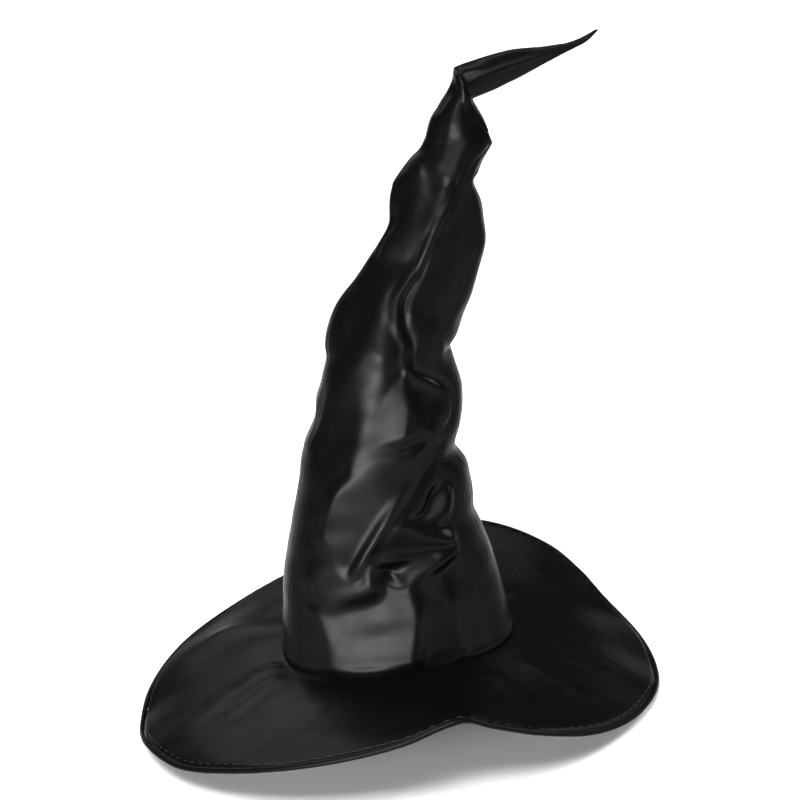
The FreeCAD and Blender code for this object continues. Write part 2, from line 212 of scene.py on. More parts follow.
class Surface:
    """A principled material, patterned in the object's own coordinates (metres)."""

    def __init__(self, name, colour, roughness, metallic=0.0, specular=0.5, **inputs):
        self.material = bpy.data.materials.new(name)
        self.material.use_nodes = True
        self.shader = self.material.node_tree.nodes["Principled BSDF"]
        self.fill(self.shader, Base_Color=(*colour, 1), Roughness=roughness, Metallic=metallic,
                  Specular_IOR_Level=specular, **inputs)
        self.place = self.add("ShaderNodeTexCoord")
        self.bumps = None

    def fill(self, node, **inputs):
        for name, value in inputs.items():
            node.inputs[name.replace("_", " ")].default_value = value

    def add(self, kind, **inputs):
        node = self.material.node_tree.nodes.new(kind)
        self.fill(node, **inputs)
        return node

    def cloth(self, across, along):
        """Cloth coordinates scaled to waves per metre across and along."""
        scaled = self.add("ShaderNodeMapping", Scale=(across, along, 1))
        join(self.place.outputs["UV"], scaled.inputs["Vector"])
        return scaled.outputs["Vector"]

    def pattern(self, node, output, place=None):
        join(place or self.place.outputs["Object"], node.inputs["Vector"])
        return node.outputs[output]

    def noise(self, scale, detail=2, place=None):
        noise = self.add("ShaderNodeTexNoise", Scale=scale, Detail=detail, Roughness=0.55)
        return self.pattern(noise, "Fac", place)

    def wave(self, scale, direction, place=None):
        wave = self.add("ShaderNodeTexWave", Scale=scale, Distortion=0.6, Detail_Scale=1.5)
        wave.bands_direction = direction
        return self.pattern(wave, "Fac", place)

    def cells(self, scale):
        return self.pattern(self.add("ShaderNodeTexVoronoi", Scale=scale), "Distance")

    def bump(self, height, distance, strength):
        """Bump over the bumps that are there already."""
        bump = self.add("ShaderNodeBump", Strength=strength, Distance=distance)
        join(height, bump.inputs["Height"])
        if self.bumps:
            join(self.bumps, bump.inputs["Normal"])
        self.bumps = bump.outputs["Normal"]
        join(self.bumps, self.shader.inputs["Normal"])

    def vary(self, name, height, low, high):
        """Vary an input of the shader with a height, between two values or two colours."""
        if isinstance(low, tuple):
            ramp = self.add("ShaderNodeValToRGB")
            for element, place, colour in zip(ramp.color_ramp.elements, (0.35, 0.65), (low, high)):
                element.position = place
                element.color = (*colour, 1)
            join(height, ramp.inputs["Fac"])
            join(ramp.outputs["Color"], self.shader.inputs[name])
        else:
            span = self.add("ShaderNodeMapRange", From_Min=0.3, From_Max=0.7, To_Min=low,
                            To_Max=high)
            join(height, span.inputs["Value"])
            join(span.outputs["Result"], self.shader.inputs[name])


def satin_material():
    satin = Surface("black_satin", (0.008, 0.008, 0.0085), 0.31, 0.8, 0.05,
                    Specular_Tint=(0.4, 0.4, 0.41, 1))
    satin.vary("Base Color", satin.noise(160, 3), (0.0076, 0.0076, 0.0081),
               (0.0084, 0.0084, 0.009))
    satin.vary("Roughness", satin.noise(60, 4), 0.28, 0.34)
    satin.bump(satin.noise(40), 0.001, 0.14)
    satin.bump(satin.noise(1, place=satin.cloth(1800, 160)), 0.00004, 0.12)
    return satin


def cloth_material(name, dark, light, yarn):
    """Matte plain weave; yarn sets how close the threads are."""
    cloth = Surface(name, dark, 0.85, 0.0, 0.25, Sheen_Weight=0.15)
    cloth.vary("Base Color", cloth.noise(35, 4), dark, light)
    cloth.bump(cloth.noise(60, 3), 0.0015, 0.3)
    threads = cloth.cloth(yarn, yarn)
    for direction in "XY":
        cloth.bump(cloth.wave(1, direction, threads), 0.0001, 0.5)
    cloth.bump(cloth.noise(1500), 0.0001, 0.3)
    return cloth


def foam_material():
    foam = Surface("charcoal_foam", (0.045, 0.045, 0.05), 0.95, 0.0, 0.2)
    cells = foam.cells(1400)
    foam.vary("Base Color", cells, (0.055, 0.055, 0.06), (0.03, 0.03, 0.034))
    foam.bump(cells, 0.0006, 0.8)
    return foam


def thread_material():
    thread = Surface("black_thread", (0.014, 0.014, 0.016), 0.6, 0.0, 0.25, Sheen_Weight=0.05)
    fibres = thread.noise(2500, 4)
    thread.vary("Base Color", fibres, (0.010, 0.010, 0.011), (0.022, 0.022, 0.024))
    thread.bump(fibres, 0.0001, 0.6)
    return thread


def label_material():
    ribbon = Surface("white_ribbon", (0.62, 0.62, 0.6), 0.42, Sheen_Weight=0.3)
    ribbon.vary("Base Color", ribbon.noise(90, 5), (0.58, 0.575, 0.55), (0.66, 0.66, 0.645))
    ribbon.bump(ribbon.wave(700, "X"), 0.00006, 0.6)
    ribbon.bump(ribbon.wave(900, "Z"), 0.00005, 0.5)
    return ribbon


def metal_material(name, colour, roughness, grain, depth):
    metal = Surface(name, colour, roughness, 1.0)
    patches = metal.noise(grain, 5)
    metal.vary("Roughness", patches, roughness - 0.1, roughness + 0.12)
    metal.vary("Base Color", patches, tuple(0.85 * c for c in colour), colour)
    metal.bump(metal.noise(grain * 3, 3), depth, 0.4)
    return metal


def plastic_material():
    plastic = Surface("moulded_cap", (0.03, 0.03, 0.03), 0.45)
    plastic.vary("Roughness", plastic.noise(400, 4), 0.38, 0.55)
    plastic.bump(plastic.noise(1800, 3), 0.0001, 0.4)
    return plastic


slots = {
    "satin": satin_material(),
    "foam": foam_material(),
    "lining": cloth_material("lining_weave", (0.016, 0.016, 0.018), (0.022, 0.022, 0.024), 420),
    "sweatband": cloth_material("grosgrain", (0.018, 0.018, 0.02), (0.027, 0.027, 0.029), 300),
    "thread": thread_material(),
    "label": label_material(),
    "wire": metal_material("galvanised_wire", (0.5, 0.5, 0.52), 0.38, 500, 0.0001),
    "crimp": metal_material("aluminium_sleeve", (0.68, 0.68, 0.7), 0.34, 900, 0.00008),
    "plastic": plastic_material()}


def wear(piece, slot):
    piece.data.materials.append(slots[slot].material)


def stand_in(piece, slot, *nodes):
    """A piece of the hat's main body, in place of CAD nodes."""
    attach(piece, "hat")
    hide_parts(*nodes)
    wear(piece, slot)


# ---- cone ----
CONE_ANGLES = round_angles(CONE_COLUMNS)


def softened(rows, spread):
    """Rows smoothed along their length by a Gaussian, with both ends kept."""
    reach = min(3 * spread, len(rows) - 1)
    before = 2 * rows[0] - rows[reach:0:-1]
    after = 2 * rows[-1] - rows[-2:-2 - reach:-1]
    padded = np.concatenate([before, rows, after])
    step = np.arange(-reach, reach + 1)
    weight = np.exp(-0.5 * (step / spread)**2)
    weight /= weight.sum()
    return np.stack([np.convolve(column, weight, mode="valid") for column in padded.T], -1)


def outline_rows():
    """Outline at every row of the cone: as cut, and softened for its front and back."""
    count = (len(OUTLINE) - 1) * ROWS_PER_STEP + 1
    place = np.linspace(0, len(OUTLINE) - 1, count)
    rows = open_table(OUTLINE, place, (NECK_FOLD, TIP_FOLD))
    neck, tip = NECK_FOLD * ROWS_PER_STEP, TIP_FOLD * ROWS_PER_STEP
    soft = np.concatenate([softened(rows[:neck + 1], SOFT_ROWS)[:-1],
                           softened(rows[neck:tip + 1], SOFT_ROWS // 3)[:-1],
                           softened(rows[tip:], SOFT_ROWS // 2)])
    return rows, soft


def ends_of(rows):
    """Left and right points of each row of the outline."""
    level = np.zeros(len(rows))
    left = np.stack([rows[:, 0], level, rows[:, 1] + SEAM_HEIGHT], -1)
    right = np.stack([rows[:, 2], level, rows[:, 3] + SEAM_HEIGHT], -1)
    return left, right


def cone_surface():
    """Points of the cone without its folds, rows by columns."""
    angle = CONE_ANGLES
    rows, soft = outline_rows()
    left, right = ends_of(soft)
    centre = (left + right) / 2
    across = (right - left) / 2
    half_width = norm(across, axis=1)
    travelled = travel(centre) + centre[0, 2] - SEAM_HEIGHT
    travelled *= CONE_SLANT / (travelled[-1] + SLANT_LEFT)
    even = BASE_RADIUS * (1 - travelled / CONE_SLANT)
    least, most = DEPTH_LIMITS
    half_depth = np.sqrt(np.maximum(2 * even**2 - half_width**2, (least * half_width)**2))
    half_depth = softened(half_depth[:, None], SOFT_ROWS)[:, 0]
    half_depth = np.minimum(half_depth, even * most + 0.5)
    back = np.array([0.0, 1.0, 0.0])
    body = (centre[:, None] + across[:, None] * np.cos(angle)[:, None]
            + back * (half_depth[:, None] * np.sin(angle))[..., None])
    cut_left, cut_right = ends_of(rows)
    # A notch in the outline rises as it runs round to the front, and falls to the back.
    row = np.arange(len(rows))[:, None]
    slant = NOTCH_SLANT * (1 - np.abs(np.cos(angle))) * -np.sign(np.sin(angle))
    low = np.clip(np.round(row - slant).astype(int), 0, len(rows) - 1)
    for sharp, smooth, side in ((cut_left, left, -1), (cut_right, right, 1)):
        near = smoothstep((side * np.cos(angle) - 0.6) / 0.38)[None, :, None]
        body += (sharp - smooth)[low] * near
    base = np.stack([BASE_RADIUS * np.cos(angle), BASE_RADIUS * np.sin(angle),
                     seam_height(angle)], -1)
    lift = np.linspace(0, 1, FOOT_ROWS + 1)[:-1, None, None]
    foot = base[None] * (1 - lift) + body[0][None] * lift
    return np.concatenate([foot, body])


@dataclass
class Fold:
    """A fold of the cloth along a line of points seen from the front (x, z over the seam, mm).

    rise is the height of its crest, near and far the reach of its flanks to the left and to
    the right of the way it travels; flat makes them straight slopes. trough is the depth, the
    distance to the right and the reach of a trough beside it. lap pushes the crest to the
    right. taper is the share of the line over which it fades at its two ends. A fold of one
    point is a round swelling, with its reach across and up.
    """
    line: list
    rise: float
    near: float = 0
    far: float = 0
    reach: tuple = (0, 0)
    flat: bool = False
    trough: tuple = (0, 0, 0)
    lap: float = 0
    taper: tuple = (0.22, 0.22)


@dataclass
class Panel:
    """A flat panel between creases; its outline goes round it, seen as a fold is.

    facing is its azimuth and upward tilt (degrees), flat is how far the cloth gives in to it,
    edge the width over which it turns away at its borders. Its plane passes through the cloth
    at hinge (x, z) if it has one, else it is balanced over the panel.
    """
    outline: list
    facing: tuple
    flat: float
    edge: float
    hinge: tuple = None


FRONT_FOLDS = [
    # long diagonal ridge and the crease under it
    Fold([(-36, 78), (-26, 92), (-12, 110), (4, 130), (19, 148), (36, 168), (47, 182), (58, 186)], 1,
         5, 3, flat=True, trough=(1.4, 6, 5), taper=(0.08, 0.03)),
    # hem over the pocket and its bright lower lip
    Fold([(-10, 112), (14, 121), (36, 116), (57, 101)], 1.6, 9, 3, taper=(0.4, 0.1)),
    Fold([(-18, 92), (6, 94), (30, 94), (50, 94), (58, 98)], 1, 2.5, 5, taper=(0.2, 0.1)),
    # base panel: soft upright bands at its right
    Fold([(-66, -20), (-62, 20), (-58, 50)], 1.2, 14, 8, taper=(0.2, 0.4)),
    Fold([(50, -20), (48, 40), (43, 80)], 3.6, 6, 10, flat=True, taper=(0.2, 0.3)),
    Fold([(30, -20), (34, 40), (34, 76)], -1.2, 8, 6, taper=(0.2, 0.3)),
    # upper right crease, its inner ridge and the soft fold right of it
    Fold([(38, 241), (32, 254), (34, 268), (30, 283), (32, 303), (43, 320), (56, 340)], 2.2, 5, 3,
         flat=True, trough=(1.4, 5.4, 3), taper=(0.06, 0.3)),
    Fold([(48, 258), (44, 284), (41, 298), (44, 312), (54, 332)], 0.6, 3, 6, taper=(0.3, 0.3)),
    Fold([(56, 240), (57, 262), (62, 290)], 2, 8, 7, taper=(0.4, 0.4)),
    Fold([(40, 308), (56, 334), (69, 357), (87, 384), (105, 411), (122, 422)], 4, 15, 9,
         taper=(0.35, 0.02)),
    Fold([(44, 312), (56, 334), (69, 357), (87, 384), (105, 411), (118, 420)], 1.2, 3, 1.8, flat=True,
         trough=(0.9, 3.4, 1.6), taper=(0.2, 0.05)),
    # tuck with a bright lip on the right, round a smooth puffed panel
    Fold([(34, 244), (48, 235), (59, 225), (64, 213), (62, 200), (54, 190)], 1.8, 2.4, 5,
         trough=(2.4, -4.6, 2.6), taper=(0.06, 0.3)),
    # valleys at the left and over the tuck
    Fold([(-66, 176), (-54, 200), (-34, 238)], -2, 10, 10, taper=(0.4, 0.4)),
    Fold([(-30, 240), (-4, 284), (20, 322), (44, 356)], -2.4, 12, 11, taper=(0.4, 0.4)),
    Fold([(20, 346), (40, 372), (52, 402)], -2, 9, 10, taper=(0.4, 0.4)),
    Fold([(70, 394)], -2.4, reach=(9, 14)),
    # neck and tip
    Fold([(121, 424), (113, 440), (107, 456), (101, 478)], 1.4, 3.4, 2.4, flat=True,
         taper=(0.04, 0.04)),
    Fold([(100, 434), (102, 450), (101, 470)], -1.6, 8, 5, taper=(0.4, 0.3)),
    Fold([(103, 479), (125, 477), (144, 480), (176, 485), (200, 490)], 1.4, 3.5, 4.5,
         taper=(0.03, 0.4)),
]

PANELS = [
    # bright wedge under the upper right crease
    Panel([(31, 245), (12, 227), (-6, 202), (-23, 172), (3, 188), (21, 189), (36, 192), (48, 188),
          (40, 210), (33, 228)], (-107, 16), 0.7, 6, hinge=(-4, 204)),
    # dark slope between the wedge and the long ridge
    Panel([(-56, 112), (-40, 152), (-4, 180), (22, 184), (36, 187), (43, 185), (30, 169), (13, 149),
          (-2, 131), (-18, 110), (-37, 86)], (-97, 0), 0.5, 6, hinge=(-14, 160)),
    # shaded slope left of the wedge and over it
    Panel([(24, 258), (2, 234), (-20, 206), (-38, 178), (-50, 180), (-38, 212), (-20, 246), (-2, 280),
          (14, 316), (26, 312), (24, 278)], (-124, 5), 0.5, 12, hinge=(-4, 230)),
    # base panel that carries the main sheen, up to the lip of the pocket
    Panel([(-70, 50), (-41, 60), (-13, 68), (-12, 88), (4, 88), (13, 75), (22, 54), (21, 30), (6, -8),
          (-56, -8), (-58, 23), (-66, 40)], (-109, 16), 0.7, 7),
    # shaded dip over its left half
    Panel([(-72, 72), (-62, 62), (-41, 68), (-26, 74), (-26, 84), (-40, 90), (-60, 90)], (-112, 4), 0.5,
          8),
    # deep pocket, its lit lower lip, and the small lobe over it
    Panel([(-16, 96), (-4, 108), (14, 117), (36, 112), (56, 100), (40, 96), (10, 96)], (-86, -14), 0.9,
          4),
    Panel([(-10, 91), (20, 94), (50, 93), (57, 95), (52, 87), (32, 79), (8, 73)], (-99, 30), 0.85, 4),
    Panel([(20, 126), (34, 131), (44, 145), (56, 141), (52, 122), (36, 119)], (-97, 30), 0.7, 5),
    # broad sheen on the upper left, and the small one at the foot of the neck
    Panel([(62, 404), (55, 392), (50, 373), (35, 354), (24, 333), (50, 330), (70, 362), (82, 388),
          (74, 398)], (-110, 12), 0.7, 8, hinge=(54, 366)),
    Panel([(78, 434), (88, 436), (95, 426), (90, 417), (78, 415), (74, 422)], (-112, 16), 0.45, 4),
    # puffed panel right of the wedge
    Panel([(38, 240), (50, 232), (59, 222), (60, 206), (50, 192), (43, 205), (36, 226)], (-72, 16), 0.5,
          6),
]

BACK_FOLDS = [
    Fold([(-40, 70), (-8, 98), (28, 128), (66, 150)], 5.5, 12, 5, trough=(4, 8, 5), lap=2),
    Fold([(-60, 150), (-20, 168), (24, 160), (60, 172)], 4, 5, 16, trough=(4, -8, 6)),
    Fold([(-40, 196), (-8, 232), (22, 258), (66, 262)], 5, 14, 5, trough=(4, 7, 4), lap=1.5),
    Fold([(-12, 282), (30, 300), (62, 330), (92, 368)], 4, 11, 7),
    Fold([(-70, 100), (-48, 140), (-30, 184)], -3, 12, 12),
    Fold([(40, 350), (70, 380), (100, 396)], 3, 6, 9, trough=(2.2, -8, 4.5)),
    Fold([(112, 428), (106, 446), (104, 468)], 2.2, 5, 4),
    Fold([(104, 476), (126, 473), (150, 478), (178, 484)], 1.6, 4, 4),
    Fold([(-80, 40), (-30, 46), (30, 40), (80, 46)], 2.2, 18, 22),
    Fold([(-30, 2), (-34, 40), (-28, 70)], 1.6, 8, 8),
    Fold([(36, 2), (40, 40), (34, 84)], 1.8, 9, 7),
]

CREST_ROUNDING = 1.6  # rounding of the crest between two straight slopes
PANEL_MARGIN = 12  # distance beyond a panel's outline where the cloth still feels it
PANEL_TRAVEL = 9  # most that a panel moves the cloth
LEAST_SLOPE = 0.4  # least cosine between the cloth and a panel that it moves to
FOOT_CLEAR = 10  # height over the brim seam where the panels take full hold
WAVE_ARC = 60  # mm of cloth per radian in the cone's faint waves
SEAM_GROOVE = 0.7, 1.6  # depth and half width of the groove at the back seam
FOLDS_CLEAR = 16  # height over the brim seam where the folds take full hold
FOOT_ROLL = 0.8, 4.5, 3.5  # bulge of the cloth over the brim seam: out, height, half width


def smooth_line(points, steps=8):
    points = np.array(points, float)
    place = np.linspace(0, len(points) - 1, (len(points) - 1) * steps + 1)
    return open_table(points, place)


def flank(away, reach, flat):
    """Share of a fold's height at a distance from its crest: a bell, or a straight slope."""
    if not flat:
        return np.exp(-(away / reach)**2)
    away = np.sqrt(away**2 + CREST_ROUNDING**2) - CREST_ROUNDING
    left = 1 - away / reach
    return (left + np.sqrt(left**2 + 0.01)) / 2


def blurred(grid, times=2):
    """Grid smoothed with its neighbours, closed round its columns."""
    for _ in range(times):
        grid = (np.roll(grid, 1, 1) + 2 * grid + np.roll(grid, -1, 1)) / 4
        padded = np.concatenate([grid[:1], grid, grid[-1:]])
        grid = (padded[:-2] + 2 * grid + padded[2:]) / 4
    return grid


def fold_field(spots, fold):
    """Height of a fold and its sideways push, at spots (x, z)."""
    if len(fold.line) == 1:
        offset = (spots - fold.line[0]) / fold.reach
        return fold.rise * np.exp(-(offset**2).sum(1)), np.zeros_like(spots)
    line = smooth_line(fold.line)
    ends = np.diff(line, axis=0)
    length = norm(ends, axis=1)
    along = np.concatenate([[0], np.cumsum(length)]) / length.sum()
    best = np.full(len(spots), 1e9)
    side = np.zeros(len(spots))
    share = np.zeros(len(spots))
    across = np.zeros((len(spots), 2))
    for i, (run, size) in enumerate(zip(ends, length)):
        offset = spots - line[i]
        t = np.clip(offset @ run / size**2, 0, 1)
        gap = offset - t[:, None] * run
        distance = norm(gap, axis=1)
        nearer = distance < best
        right = np.array([run[1], -run[0]]) / size
        best = np.where(nearer, distance, best)
        side = np.where(nearer, np.sign(offset @ right), side)
        share = np.where(nearer, along[i] + t * size / length.sum(), share)
        across[nearer] = right
    signed = best * side
    start, end = fold.taper
    fade = smoothstep(share / start) * smoothstep((1 - share) / end)
    reach = np.where(signed < 0, fold.near, fold.far)
    height = fold.rise * flank(signed, reach, fold.flat)
    depth, middle, reach = fold.trough
    if depth:
        height = height - depth * np.exp(-((signed - middle) / reach)**2)
    push = fold.lap * np.exp(-(signed / (0.6 * fold.near + 2))**2)
    return height * fade, across * (push * fade)[:, None]


def inside_by(spots, outline):
    """Distance of each spot inside a closed outline, negative outside it."""
    corners = smooth_line(list(outline) + [outline[0]], 4)[:-1]
    ahead = np.roll(corners, -1, axis=0)
    nearest = np.full(len(spots), 1e9)
    crossings = np.zeros(len(spots), int)
    for a, b in zip(corners, ahead):
        run = b - a
        t = np.clip((spots - a) @ run / (run @ run), 0, 1)
        nearest = np.minimum(nearest, norm(spots - a - t[:, None] * run, axis=1))
        spans = (a[1] > spots[:, 1]) != (b[1] > spots[:, 1])
        rise = run[1] if abs(run[1]) > 1e-9 else 1e-9
        crossings += spans & (spots[:, 0] < a[0] + (spots[:, 1] - a[1]) * run[0] / rise)
    return np.where(crossings % 2 == 1, nearest, -nearest)


def panelled(points):
    """The cone's points with its front panels pressed flat."""
    facing_front = np.broadcast_to(np.sin(CONE_ANGLES) < -0.1, points.shape[:2]).reshape(-1)
    normal = grid_normals(points).reshape(-1, 3)
    flat_points = points.reshape(-1, 3)
    spots = flat_points[:, (0, 2)] - (0, SEAM_HEIGHT)
    move = np.zeros(len(spots))
    for panel in PANELS:
        outline = np.array(panel.outline, float)
        near = (spots > outline.min(0) - PANEL_MARGIN) & (spots < outline.max(0) + PANEL_MARGIN)
        index = np.nonzero(near.all(1) & facing_front)[0]
        depth = inside_by(spots[index], panel.outline)
        share = smoothstep((depth + panel.edge) / (2 * panel.edge))
        azimuth, tilt = np.radians(panel.facing)
        face = np.array([np.cos(azimuth) * np.cos(tilt), np.sin(azimuth) * np.cos(tilt),
                         np.sin(tilt)])
        slope = np.maximum(normal[index] @ face, LEAST_SLOPE)
        here = flat_points[index]
        if panel.hinge:
            through = here[((spots[index] - panel.hinge)**2).sum(1).argmin()]
        else:
            through = here[depth > 0].mean(0)
        gap = ((through - here) @ face) / slope
        if not panel.hinge:
            gap = gap - np.average(gap, weights=share)
        move[index] += panel.flat * share * np.clip(gap, -PANEL_TRAVEL, PANEL_TRAVEL)
    move = blurred(move.reshape(points.shape[:2]), 6)
    move *= smoothstep((points[..., 2] - seam_height(CONE_ANGLES)) / FOOT_CLEAR)
    return points + grid_normals(points) * move[..., None]


def grid_normals(points):
    """Outward normals of a closed-round grid."""
    round_way = np.roll(points, -1, axis=1) - np.roll(points, 1, axis=1)
    up_way = np.gradient(points, axis=0)
    normal = np.cross(round_way, up_way)
    return normal / np.maximum(norm(normal, axis=-1, keepdims=True), 1e-9)


def soft_waves(spots, seed, count, size, longest):
    """Sum of faint seeded waves over spots, with crests size to longest mm apart."""
    chance = np.random.default_rng(seed)
    total = np.zeros(len(spots))
    for _ in range(count):
        direction = chance.uniform(0, np.pi)
        spacing = chance.uniform(size, longest)
        phase = chance.uniform(0, 2 * np.pi)
        way = np.array([np.cos(direction), np.sin(direction)]) * (2 * np.pi / spacing)
        total += np.sin(spots @ way + phase)
    return total / np.sqrt(count)


def folded(plain, points):
    """Points of the cone with the folds of the cloth, laid out on the plain cone."""
    angle = CONE_ANGLES
    normal = grid_normals(points)
    shape = points.shape[:2]
    spots = plain[..., (0, 2)].reshape(-1, 2) - (0, SEAM_HEIGHT)
    height = np.zeros(len(spots))
    push = np.zeros((len(spots), 2))
    for folds, facing in ((FRONT_FOLDS, -np.sin(angle)), (BACK_FOLDS, np.sin(angle))):
        front = np.broadcast_to(smoothstep(facing / 0.35), shape).reshape(-1)
        for fold in folds:
            line = np.array(fold.line)
            _, middle, reach = fold.trough
            margin = 3 * max(fold.near, fold.far, *fold.reach, abs(middle) / 2 + reach)
            inside = ((spots > line.min(0) - margin) & (spots < line.max(0) + margin)).all(1)
            inside &= front > 0
            rise, shove = fold_field(spots[inside], fold)
            height[inside] += rise * front[inside]
            push[inside] += shove * front[inside, None]
    round_way = np.broadcast_to(angle * WAVE_ARC, shape).reshape(-1)
    height += 0.25 * soft_waves(np.stack([round_way, spots[:, 1]], -1), 3, 7, 20, 60)
    from_seam = np.broadcast_to((angle - np.pi / 2) * WAVE_ARC, shape).reshape(-1)
    height -= SEAM_GROOVE[0] * np.exp(-(from_seam / SEAM_GROOVE[1])**2)
    moved = points + normal * blurred(height.reshape(shape))[..., None]
    moved[..., 0] += push[:, 0].reshape(shape)
    moved[..., 2] += push[:, 1].reshape(shape)
    lift = points[..., 2] - seam_height(angle)
    hold = smoothstep(lift / FOLDS_CLEAR)[..., None]
    out, up, reach = FOOT_ROLL
    roll = np.exp(-((lift - up) / reach)**2)[..., None]
    return points * (1 - hold) + moved * hold + normal * (out * roll)


def pattern_size(rows):
    """Width, length and area (m) of the flat sector that a stretch of the cone is cut from."""
    spine = cone_smooth.mean(1)
    travelled = travel(spine)
    travelled *= CONE_SLANT / travelled[-1]
    first, last = (np.argmin(norm(spine - row.mean(0), axis=1)) for row in rows[[0, -1]])
    outer, inner = CONE_SLANT - travelled[first], CONE_SLANT - travelled[last]
    half_angle = math.pi * BASE_RADIUS / CONE_SLANT
    width = 2 * outer * math.sin(half_angle)
    length = outer - inner * math.cos(half_angle)
    area = half_angle * (outer**2 - inner**2)
    return width * MM, length * MM, area * MM * MM


def spread_out(depth, reach):
    """Largest of each value's neighbours within reach cells, then softened."""
    for gather, axis in ((np.max, 0), (np.max, 1), (np.mean, 0), (np.mean, 1)):
        depth = gather([np.roll(depth, k, axis) for k in range(-reach, reach + 1)], axis=0)
    return depth


def shell(name, outside, inside):
    """Closed wall between two grids of the same size."""
    loop = np.concatenate([outside, inside[::-1]])
    return make_mesh(name, loop, grid_faces(*loop.shape[:2], joined=True))


# The cone's cloth is one surface, split into stretches at its neck and at its tip.
BELOW_NECK = 24  # row of the outline where the neck's cloth starts
BELOW_TIP = 29  # row of the outline where the tip's cloth starts
COARSE = 4  # step of rows and columns in the hidden plies
FOAM_DEPTH = 1.2  # depth of the foam's outside under the satin
LINING_DEPTH = 2.9  # depth of the lining under the satin where it is smooth
DEEPEST = 0.6  # most depth of the lining over the cone's radius, for its narrow end
LINING_GAP = 0.3  # clearance between the foam and the lining
FOAM_END = 37  # row of the outline where the tip's foam ends
FOAM_NODES = {"cone": ("lower_cone_foam", "upper_cone_foam"), "neck": ("neck_foam",),
              "tip": ("tip_foam",)}
LINING_TOP = BELOW_NECK + 2  # row of the outline where the lining ends

cone_smooth = cone_surface()
cone_points = folded(cone_smooth, panelled(cone_smooth))
row_of = [FOOT_ROWS + k * ROWS_PER_STEP for k in range(len(OUTLINE))]
stretches = {"cone": (0, row_of[BELOW_NECK]), "neck": (row_of[BELOW_NECK], row_of[BELOW_TIP]),
             "tip": (row_of[BELOW_TIP], len(cone_points) - 1)}


def follow(piece, stretch):
    """Attach a ply of the cone's lowest stretch to the hat's body; those of the neck and the tip stay
    unattached, with their placement baked into their meshes.
    """
    if stretch == "cone":
        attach(piece, "hat")
    if stretch == "neck":
        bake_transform(piece)
    if stretch == "tip":
        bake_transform(piece)


def cone_covers():
    for stretch, (first, last) in stretches.items():
        rows = cone_points[first:last + 1]
        faces = grid_faces(len(rows), CONE_COLUMNS)
        if stretch == "tip":
            end = rows[-1].mean(0) + (rows[-1].mean(0) - rows[-3].mean(0)) * 0.5
            centre = len(rows) * CONE_COLUMNS
            ring = centre - CONE_COLUMNS
            faces += [(ring + c, ring + (c + 1) % CONE_COLUMNS, centre)
                      for c in range(CONE_COLUMNS)]
            points = np.concatenate([rows.reshape(-1, 3), end[None]])
        else:
            points = rows
        piece = make_mesh(stretch + "_cover", points, faces)
        follow(piece, stretch)
        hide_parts(stretch + "_satin")
        wear(piece, "satin")
        width, length, area = pattern_size(rows)
        lay_cloth(piece, len(rows), CONE_COLUMNS, width, length)


def cone_plies():
    """The foam behind the satin, and the lining inside the cone."""
    normal = grid_normals(cone_smooth)
    dip = np.maximum(((cone_smooth - cone_points) * normal).sum(-1), 0)
    depth = LINING_DEPTH + spread_out(dip, 5)
    taper = norm(cone_smooth - cone_smooth.mean(1, keepdims=True), axis=-1)
    depth = np.minimum(depth, DEEPEST * taper)
    inside = cone_smooth - normal * depth[..., None]
    hollow = spread_out(dip, 3) - dip
    sink = np.minimum(FOAM_DEPTH + 0.7 * hollow, depth / 2)
    outside = cone_points - normal * sink[..., None]
    inside, outside = inside[::COARSE, ::COARSE], outside[::COARSE, ::COARSE]
    for stretch, (first, last) in stretches.items():
        if stretch == "tip":
            last = row_of[FOAM_END]
        span = slice(first // COARSE, last // COARSE + 1)
        piece = shell(stretch + "_interlining", outside[span], inside[span])
        follow(piece, stretch)
        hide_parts(*FOAM_NODES[stretch])
        wear(piece, "foam")
    top = row_of[LINING_TOP] // COARSE
    rows = inside[:top]
    rows = rows - grid_normals(rows) * LINING_GAP
    lining = make_mesh("cone_lining_cloth", rows, grid_faces(top, rows.shape[1]))
    stand_in(lining, "lining", "cone_lining")
    width, length, area = pattern_size(cone_smooth[:top * COARSE])
    lay_cloth(lining, top, rows.shape[1], width, length)


cone_covers()
cone_plies()


# ---- brim ----
BRIM_COLUMNS = 720
BRIM_ROWS = 60
BRIM_MEAN_WIDTH = 133.0
BRIM_DEPTH = 4.3  # thickness of the brim over all its plies
UNDERSIDE_DROP = 3.8  # depth of the underside satin's upper face
UNDERSIDE_INNER = -6.8  # how far the underside goes in under the cone
PIPING_RADIUS = 2.3
INSIDE_PIPING = 1 - 2.6 / BRIM_MEAN_WIDTH  # where the plies end
EDGE_CROWDING = 1.35  # how much closer the brim's rows lie towards its edge
EDGE_ROLL = 0.9, 1.5  # how far the top satin turns down at the piping, and its width
PUFF = 1.2  # height of the brim's padding over its seam and edge
SATIN_TO_FOAM = 0.7  # clearance on each side of the brim's foam
BRIM_ANGLES = round_angles(BRIM_COLUMNS)


def brim_grid(reach, azimuth, drop=0.0, inner=0.0):
    """Points of the brim for reach (0 seam, 1 edge) by azimuth (radians)."""
    reach = np.asarray(reach)[:, None]
    degrees = np.degrees(azimuth)
    angle = np.radians(round_table(BRIM_EDGE, degrees, 1))[None] * (1 - BRIM_SAG + BRIM_SAG * reach)
    run = round_table(BRIM_EDGE, degrees, 2)[None] * reach
    radius = BASE_RADIUS + inner * (1 - reach) + run * np.cos(angle)
    height = seam_height(azimuth)[None] + run * np.sin(angle) - drop
    return np.stack([radius * np.cos(azimuth), radius * np.sin(azimuth), height], -1)


